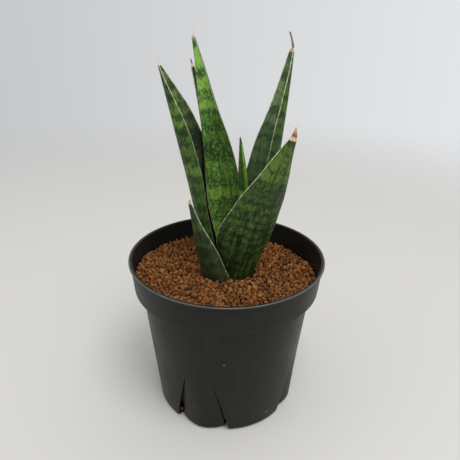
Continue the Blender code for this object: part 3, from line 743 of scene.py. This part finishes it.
def leaf_material(name):
    look = look_of(name)
    n = Nodes(bpy.data.materials.new(name + "_skin"))
    place = n.vector("place")
    margin = n.value("margin")
    from_tip = n.value("from_tip")
    on_inner = n.math("GREATER_THAN", n.value("on_inner"), 0.5)
    # streaks, dashes and fine threads that run along the blade
    streaks = n.noise(n.scaled(place, (1.6, 0.3, 1.0)), 1.0, 4.0, 0.62)
    dashes = n.noise(n.scaled(place, (1.5, 0.7, 1.0)), 1.0, 3.0, 0.7)
    threads = n.noise(n.scaled(place, (5.0, 0.25, 1.0)), 1.0, 2.0, 0.6)
    light = n.plus(n.plus(n.value("tone"), n.centred(streaks, 0.35)), n.centred(dashes, 0.35))
    dark = n.mix(on_inner, look["outer"][0], look["inner"][0])
    pale = n.mix(on_inner, look["outer"][1], look["inner"][1])
    green = n.mix(n.range(light, 0.0, 0.95), dark, pale)
    # painted light: the inner face is lightened towards its tip, more in blue where a painted sheen is
    # wanted, and left darker lower down as painted shade
    upper = n.mix(on_inner, (1.0, 1.0, 1.0), look["inner_tip_light"])
    green = n.mix(n.range(from_tip, 60.0, 20.0), green, upper, "MULTIPLY")
    green = n.mix(n.times(n.range(threads, 0.62, 0.4), 0.35), green, (0.0, 0.0, 0.0))
    # painted shade: the grooves are darkened towards a near-black green
    groove_shade = (0.006, 0.013, 0.005)
    green = n.mix(n.times(n.value("groove"), 0.85), green, groove_shade)
    # painted shade of fine creases that run up the lower part of the blade, broken here and there
    crease = n.math("ABSOLUTE", n.centred(n.noise(n.scaled(place, (0.5, 0.02, 1.0)), 1.0, 2.0, 0.4), 1.0))
    broken = n.range(n.noise(n.scaled(place, (0.25, 0.07, 1.0)), 1.0, 2.0, 0.5), 0.4, 0.52)
    crease = n.times(n.range(crease, 0.075, 0.025), n.times(broken, n.range(from_tip, 22.0, 48.0)))
    green = n.mix(n.times(crease, look["grooves"]), green, groove_shade)
    # pinprick flecks
    distance, chance = n.cells(n.scaled(place, (1.1, 0.7, 1.0)), 1.0)
    fleck = n.times(n.math("LESS_THAN", distance, 0.16), n.math("GREATER_THAN", chance, 0.75))
    green = n.mix(n.times(fleck, look["speckle"]), green, (0.2, 0.3, 0.14))
    # a thin pale margin, a little uneven, with a dark line inside it, that is stronger near the tip
    uneven = n.noise(n.scaled(place, (0.0, 0.35, 0.0)), 1.0, 3.0, 0.6)
    reach = n.range(uneven, 0.35, 0.7, 0.02, 0.2)
    line = n.range(n.math("SUBTRACT", margin, reach), 0.4, 0.1)
    green = n.mix(n.times(line, 0.3), green, (0.02, 0.022, 0.008))
    rim = n.range(n.math("SUBTRACT", reach, margin), -0.1, 0.08)
    edge = n.mix(n.range(uneven, 0.4, 0.6), (0.4, 0.43, 0.26), (0.7, 0.7, 0.5))
    rim_strength = n.times(n.range(from_tip, *look["rim_fade"], 1.0, 0.3), look["rim"])
    rim_strength = n.plus(rim_strength, n.times(n.range(from_tip, 45.0, 8.0), 0.25), clamp=True)
    rim = n.times(rim, rim_strength)
    colour = n.mix(rim, green, edge)
    # dry cap and spine
    ragged = n.centred(streaks, 2.0)
    capped = n.range(n.plus(from_tip, ragged), look["cap"] + 0.35, look["cap"] - 0.35)
    colour = n.mix(capped, colour, look["cream"])
    thin = n.range(n.plus(from_tip, n.times(ragged, 0.4)), -0.2, -1.4)
    tipped = n.mix(n.range(from_tip, -2.2, -4.6), look["spine"], look["spine_end"])
    colour = n.mix(thin, colour, tipped)
    dry = n.math("MAXIMUM", capped, rim)
    rough = n.plus(n.range(dashes, 0.3, 0.7, 0.42, 0.56), n.times(dry, 0.3), clamp=True)
    relief = n.plus(n.times(threads, 0.7), n.times(dashes, 0.5))
    n.set(Base_Color=colour, Roughness=rough, Specular_IOR_Level=0.16, Normal=n.bump(relief, 0.0001, 0.5))
    return n.owner


# ------------------------ grains

SURFACE = 89.6  # mean height of the fill's top
SURFACE_FALL = (-1.9, -1.3)
BED_DEPTH = 8.5
TOP_LAYER = 3.2  # deeper grains get plainer shapes
GRAIN_SIZES = (1.8, 4.8)
GRAIN_MEAN = 3.2
GRAIN_SPREAD = 0.65
GRAIN_SHAPES = 14
MOST_GRAINS = 5200
MOST_MISSES = 400
LANDING_TRIES = 14
CELL = 0.4  # of the height map that the grains are dropped on
MAP_REACH = 59.0
BLOCKED = 1e6
CORE_INSET = 2.0


def surface_z(x, y):
    ripple = 0.5 * np.sin(0.13 * x + 1.0) * np.cos(0.11 * y)
    return SURFACE + (SURFACE_FALL[0] * x + SURFACE_FALL[1] * y) / WALL_TOP_RADIUS + ripple


def leaf_footprint(z):
    """Outlines of the leaves at height z, a little thicker than the blades, as lists of (x, y)."""
    outlines = []
    for leaf in LEAVES.values():
        shares = (k / 150.0 for k in range(60))
        share = next(share for share in shares if leaf_frame(leaf, share)[0].z >= z)
        keel, _, inward, side = leaf_frame(leaf, share)
        bend = math.radians(along(leaf["bend"], share))
        radius = along(leaf["width"], share) / bend
        thickness = along(leaf["thickness"], share)
        inner = []
        outer = []
        for u in np.linspace(-1.0, 1.0, 15):
            angle = bend * u
            base = keel + side * (radius * math.sin(angle)) + inward * (radius * (1 - math.cos(angle)))
            away = side * math.sin(angle) - inward * math.cos(angle)
            inner.append(base - away * 0.3)
            outer.append(base + away * (thickness * math.sqrt(max(1 - abs(u) ** CROSS_POWER, 0.06)) + 0.3))
        outlines.append([(point.x, point.y) for point in inner + outer[::-1]])
    return outlines


def inside(outline, xs, ys):
    """Even-odd test of many points against one outline."""
    result = np.zeros(xs.shape, bool)
    for (x0, y0), (x1, y1) in zip(outline, outline[1:] + outline[:1]):
        crosses = (y0 > ys) != (y1 > ys)
        if y0 != y1:
            result ^= crosses & (xs < (x1 - x0) * (ys - y0) / (y1 - y0) + x0)
    return result


def grain_footprint(half):
    """How many cells a grain reaches, which cells round its middle it covers, and its height on each."""
    cells = int(half / CELL) + 1
    near = np.arange(-cells, cells + 1) * CELL
    nx, ny = np.meshgrid(near, near, indexing="ij")
    below = half ** 2 - nx ** 2 - ny ** 2
    return cells, below > 0, np.sqrt(np.maximum(below, 0.0)) * 0.9


def drop_grains(rng):
    """Drops grains one by one on a height map until the bed reaches its surface. Returns (x, y, z, size)."""
    size = int(2 * MAP_REACH / CELL) + 1
    axis = (np.arange(size) - size // 2) * CELL
    xs, ys = np.meshgrid(axis, axis, indexing="ij")
    target = surface_z(xs, ys)
    height = target - BED_DEPTH
    over_ledge = np.hypot(xs, ys) > inner_wall(COLLAR_FOOT_Z - 1.0) - 0.4
    height = np.where(over_ledge, np.maximum(height, COLLAR_FOOT_Z + POT_WALL + 0.2), height)
    blocked = np.hypot(xs, ys) > inner_wall(SURFACE) - 0.1
    for outline in leaf_footprint(SURFACE - 1.0):
        blocked |= inside(outline, xs, ys)
    height[blocked] = BLOCKED
    grains = []
    misses = 0
    while misses < MOST_MISSES and len(grains) < MOST_GRAINS:
        wide = float(np.clip(rng.normal(GRAIN_MEAN, GRAIN_SPREAD), *GRAIN_SIZES))
        half = wide * 0.46
        cells, covered, lift = grain_footprint(half)
        best = None
        for _ in range(LANDING_TRIES):
            angle = rng.uniform(0.0, TAU)
            radius = math.sqrt(rng.uniform(0.0, 1.0)) * (inner_wall(SURFACE) - half)
            i = int(round(radius * math.cos(angle) / CELL)) + size // 2
            j = int(round(radius * math.sin(angle) / CELL)) + size // 2
            patch = height[i - cells:i + cells + 1, j - cells:j + cells + 1]
            if patch.shape != lift.shape:
                continue
            landed = float(np.max(np.where(covered, patch + lift, -BLOCKED)))
            if landed > BLOCKED / 2:
                continue
            room = target[i, j] - landed
            if best is None or room > best[0]:
                best = (room, i, j, landed)
        if best is None or best[0] < half * 0.55:
            misses += 1
            continue
        misses = 0
        _, i, j, landed = best
        patch = height[i - cells:i + cells + 1, j - cells:j + cells + 1]
        np.maximum(patch, np.where(covered, landed + lift, -BLOCKED), out=patch)
        grains.append((axis[i], axis[j], landed, wide))
    return grains


def grain_shapes(rng, level):
    """A few unlike crumbs: a ball cut by random planes into blunt facets, then roughened."""
    shapes = []
    for number in range(GRAIN_SHAPES):
        ball = bmesh.new()
        bmesh.ops.create_icosphere(ball, subdivisions=level, radius=0.5)
        points = np.array([vertex.co for vertex in ball.verts])
        faces = [tuple(vertex.index for vertex in face.verts) for face in ball.faces]
        ball.free()
        for _ in range(9):
            normal = rng.normal(size=3)
            normal /= np.linalg.norm(normal)
            limit = rng.uniform(0.3, 0.43)
            over = points @ normal - limit
            points = points - np.outer(np.maximum(over, 0.0) * 0.85, normal)
        for k, point in enumerate(points):
            rough = noise.fractal(Vector(point) * 4.5 + Vector((number * 5.0, 0, 0)), 0.8, 2.0, 3)
            points[k] = point * (1.0 + 0.13 * rough)
        points *= np.array((1.0, rng.uniform(0.75, 0.95), rng.uniform(0.66, 0.9)))
        shapes.append((points, faces))
    return shapes


def place_grains(name, grains, shapes, rng, material):
    """All these grains as one mesh, each turned its own way, with its own shade in the tint attribute."""
    points = []
    faces = []
    tints = []
    base = 0
    for x, y, z, wide in grains:
        form, form_faces = shapes[rng.integers(len(shapes))]
        turn = Euler(rng.uniform(0.0, TAU, 3)).to_matrix()
        points.append((form * wide * 1.06) @ np.array(turn).T + np.array((x, y, z)))
        faces += [tuple(base + k for k in face) for face in form_faces]
        tints.append(np.tile((rng.uniform(), rng.uniform(), rng.uniform(0.0, 50.0)), (len(form), 1)))
        base += len(form)
    thing = mesh_object(name, np.concatenate(points), faces, material, smooth=False)
    add_vectors(thing.data, "tint", np.concatenate(tints))
    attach(thing, "root")
    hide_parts("substrate")


def grain_material():
    n = Nodes(bpy.data.materials.new("clay_grains"))
    tint = n.node("ShaderNodeSeparateXYZ", {"Vector": n.vector("tint")})
    shifted = n.node("ShaderNodeVectorMath", {0: n.place(), 1: n.vector("tint")}, operation="ADD")
    pores = n.noise(shifted.outputs["Vector"], 1500.0, 4.0, 0.7)
    cloudy = n.noise(shifted.outputs["Vector"], 420.0, 3.0, 0.6)
    base = n.mix(tint.outputs["X"], (0.12, 0.044, 0.014), (0.42, 0.17, 0.05))
    base = n.mix(n.range(tint.outputs["Y"], 0.8, 1.0, 0.0, 0.8), base, (0.075, 0.032, 0.016))
    base = n.mix(n.range(cloudy, 0.5, 0.8), base, (0.55, 0.28, 0.11))
    base = n.mix(n.range(pores, 0.52, 0.3), base, (0.05, 0.02, 0.009))
    rough = n.range(pores, 0.3, 0.7, 0.95, 0.8)
    relief = n.plus(pores, n.times(cloudy, 1.5))
    n.set(Base_Color=base, Roughness=rough, Specular_IOR_Level=0.1, Normal=n.bump(relief, 0.0004, 0.9))
    return n.owner


def hidden_grains(rng):
    """Grains behind the slits and above the drain hole."""
    grains = []
    for number in range(PANEL_COUNT):
        centre = PANEL_FIRST_AZIMUTH + number * 360.0 / PANEL_COUNT
        for sign in (-1.0, 1.0):
            for k in range(44):
                z = 4.0 + 36.0 * (k % 22) / 22.0
                azimuth = centre + sign * (panel_half_angle(z) + rng.uniform(-4.0, 4.0))
                wide = rng.uniform(2.2, 3.6)
                reach = wall_radius(z) - POT_WALL - PANEL_DEPTH - wide * 0.55 - rng.uniform(0.8, 3.0)
                grains.append((*polar(reach, math.radians(azimuth), z), wide))
    for _ in range(26):
        angle = rng.uniform(0.0, TAU)
        reach = 6.5 * math.sqrt(rng.uniform())
        grains.append((*polar(reach, angle, 4.6 + rng.uniform(0.0, 1.0)), GRAIN_MEAN))
    return grains


def build_core(material):
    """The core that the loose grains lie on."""
    steps = 96
    angles = [TAU * k / steps for k in range(steps)]
    points = []
    for z, inset in ((3.4, 22.0), (3.4, 6.0), (6.0, 5.4), (20.0, 5.2), (40.0, 3.4), (60.0, CORE_INSET),
                     (80.0, CORE_INSET)):
        reach = wall_radius(z) - POT_WALL - inset
        points += [polar(reach, angle, z) for angle in angles]
    for share in (1.0, 0.8, 0.6, 0.4):
        reach = (wall_radius(80.0) - POT_WALL - CORE_INSET) * share
        for angle in angles:
            x, y, _ = polar(reach, angle, 0.0)
            points.append((x, y, surface_z(x, y) - BED_DEPTH + 0.3))
    faces = []
    for row in range(0, len(points) - steps, steps):
        for k in range(steps):
            following = (k + 1) % steps
            faces.append((row + k, row + following, row + steps + following, row + steps + k))
    faces.append(tuple(reversed(range(steps))))
    faces.append(tuple(range(len(points) - steps, len(points))))
    core = mesh_object("grains_core", points, faces, material)
    add_vectors(core.data, "tint", np.tile((0.3, 0.3, 9.0), (len(points), 1)))
    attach(core, "root")
    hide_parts("substrate")


def build_fill():
    rng = np.random.default_rng(7)
    material = grain_material()
    top = []
    low = []
    for grain in drop_grains(rng):
        x, y, z, _ = grain
        (top if surface_z(x, y) - z < TOP_LAYER else low).append(grain)
    fine = grain_shapes(rng, 3)
    plain = grain_shapes(rng, 2)
    quarter = len(top) // 4 + 1
    for k in range(4):
        place_grains("grains_top_%d" % k, top[k * quarter:(k + 1) * quarter], fine, rng, material)
    place_grains("grains_below", low, plain, rng, material)
    place_grains("grains_behind_slits", hidden_grains(rng), plain, rng, material)
    # one has worked its way into the left slit
    place_grains("grain_in_slit", [(-27.6, -30.9, 3.6, 2.8)], plain, rng, material)
    build_core(material)


# ------------------------ rhizome


def rhizome_material():
    n = Nodes(bpy.data.materials.new("rhizome_bark"))
    place = n.place()
    rings = n.noise(n.scaled(place, (60.0, 60.0, 420.0)), 1.0, 4.0, 0.6)
    patches = n.noise(place, 120.0, 3.0, 0.6)
    base = n.mix(n.range(rings, 0.3, 0.7), (0.3, 0.13, 0.05), (0.55, 0.3, 0.13))
    base = n.mix(n.range(patches, 0.5, 0.7), base, (0.2, 0.1, 0.05))
    n.set(Base_Color=base, Roughness=n.range(rings, 0.3, 0.7, 0.85, 0.65), Normal=n.bump(rings, 0.0004, 0.7))
    return n.owner


def dress_rhizome():
    """The rhizome is fully buried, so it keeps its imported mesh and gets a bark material."""
    material = rhizome_material()
    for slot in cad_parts["rhizome"].material_slots:
        slot.material = material


# ------------------------ floor, light, camera

FLOOR_GREY = (0.74, 0.74, 0.732)
FLOOR_REACH = 1600.0
HORIZON = (0.69, 0.7, 0.715)
OVERHEAD = (0.69, 0.68, 0.65)


def build_floor():
    """A wide pale floor that fades into the backdrop's own grey, so that no horizon shows."""
    n = Nodes(bpy.data.materials.new("floor_paper"))
    place = n.place()
    grey = n.mix(n.noise(place, 3.0, 2.0, 0.5), FLOOR_GREY, tuple(0.97 * part for part in FLOOR_GREY))
    n.set(Base_Color=grey, Roughness=0.9, Specular_IOR_Level=0.1)
    far = n.node("ShaderNodeVectorMath", {0: place}, operation="LENGTH").outputs["Value"]
    fade = n.range(far, 0.2, 1.1, curve="SMOOTHERSTEP")
    clear = n.node("ShaderNodeBsdfTransparent").outputs["BSDF"]
    both = n.node("ShaderNodeMixShader", {0: fade, 1: n.shader.outputs["BSDF"], 2: clear})
    n.feed(n.tree.nodes["Material Output"].inputs["Surface"], both.outputs["Shader"])
    corners = [(x * FLOOR_REACH, y * FLOOR_REACH, 0.0) for x, y in ((-1, -1), (1, -1), (1, 1), (-1, 1))]
    floor = mesh_object("floor", corners, [(0, 1, 2, 3)], n.owner, smooth=False)


def area_light(name, place, target, size, power, colour):
    data = bpy.data.lights.new(name, "AREA")
    data.shape = "DISK"
    data.size = size
    data.energy = power
    data.color = colour
    light = bpy.data.objects.new(name, data)
    bpy.context.scene.collection.objects.link(light)
    light.location = place
    light.rotation_euler = (Vector(target) - Vector(place)).to_track_quat("-Z", "Y").to_euler()


def build_light():
    """A pale surround, greyer to the left, with a soft key from above and in front and a weak left fill."""
    world = bpy.data.worlds.new("studio")
    bpy.context.scene.world = world
    n = Nodes(world)
    back = n.tree.nodes["Background"]
    place = n.node("ShaderNodeTexCoord").outputs["Generated"]
    split = n.node("ShaderNodeSeparateXYZ", {"Vector": place})
    upwards = n.range(split.outputs["Z"], 0.15, 0.6, curve="SMOOTHSTEP")
    n.feed(back.inputs["Color"], n.mix(upwards, HORIZON, OVERHEAD))
    n.feed(back.inputs["Strength"], n.range(split.outputs["X"], -0.45, 0.45, 0.82, 1.12))
    area_light("key", (0.22, -0.42, 1.05), (0.0, -0.05, 0.05), 0.5, 4.8, (1.0, 0.985, 0.965))
    area_light("fill_left", (-0.9, -0.3, 0.8), (0.0, 0.0, 0.1), 0.6, 0.7, (1.0, 0.98, 0.94))
    bpy.context.scene.view_settings.view_transform = "Standard"


CAMERA_PLACE = (0.0, -0.24462, 0.22847)
CAMERA_PITCH = 0.42782  # below the horizon
CAMERA_YAW = 0.00688  # towards +X
CAMERA_ROLL = 0.01719
CAMERA_LENS = 34.70


def build_camera():
    data = bpy.data.cameras.new("camera")
    data.sensor_width = 36.0
    data.lens = CAMERA_LENS
    data.clip_start = 0.01
    data.clip_end = 50.0
    camera = bpy.data.objects.new("camera", data)
    bpy.context.scene.collection.objects.link(camera)
    forward = Vector((
        math.sin(CAMERA_YAW) * math.cos(CAMERA_PITCH), math.cos(CAMERA_YAW) * math.cos(CAMERA_PITCH),
        -math.sin(CAMERA_PITCH)))
    right = forward.cross(Vector((0.0, 0.0, 1.0))).normalized()
    up = right.cross(forward)
    tilted_right = right * math.cos(CAMERA_ROLL) + up * math.sin(CAMERA_ROLL)
    tilted_up = up * math.cos(CAMERA_ROLL) - right * math.sin(CAMERA_ROLL)
    turn = Matrix((tilted_right, tilted_up, -forward)).transposed()
    camera.matrix_world = Matrix.Translation(CAMERA_PLACE) @ turn.to_4x4()
    bpy.context.scene.camera = camera


build_camera()
build_light()
build_floor()
build_pot()
for number, (name, leaf) in enumerate(LEAVES.items()):
    build_leaf(name, leaf, number)
build_fill()
dress_rhizome()

bpy.context.view_layer.update()
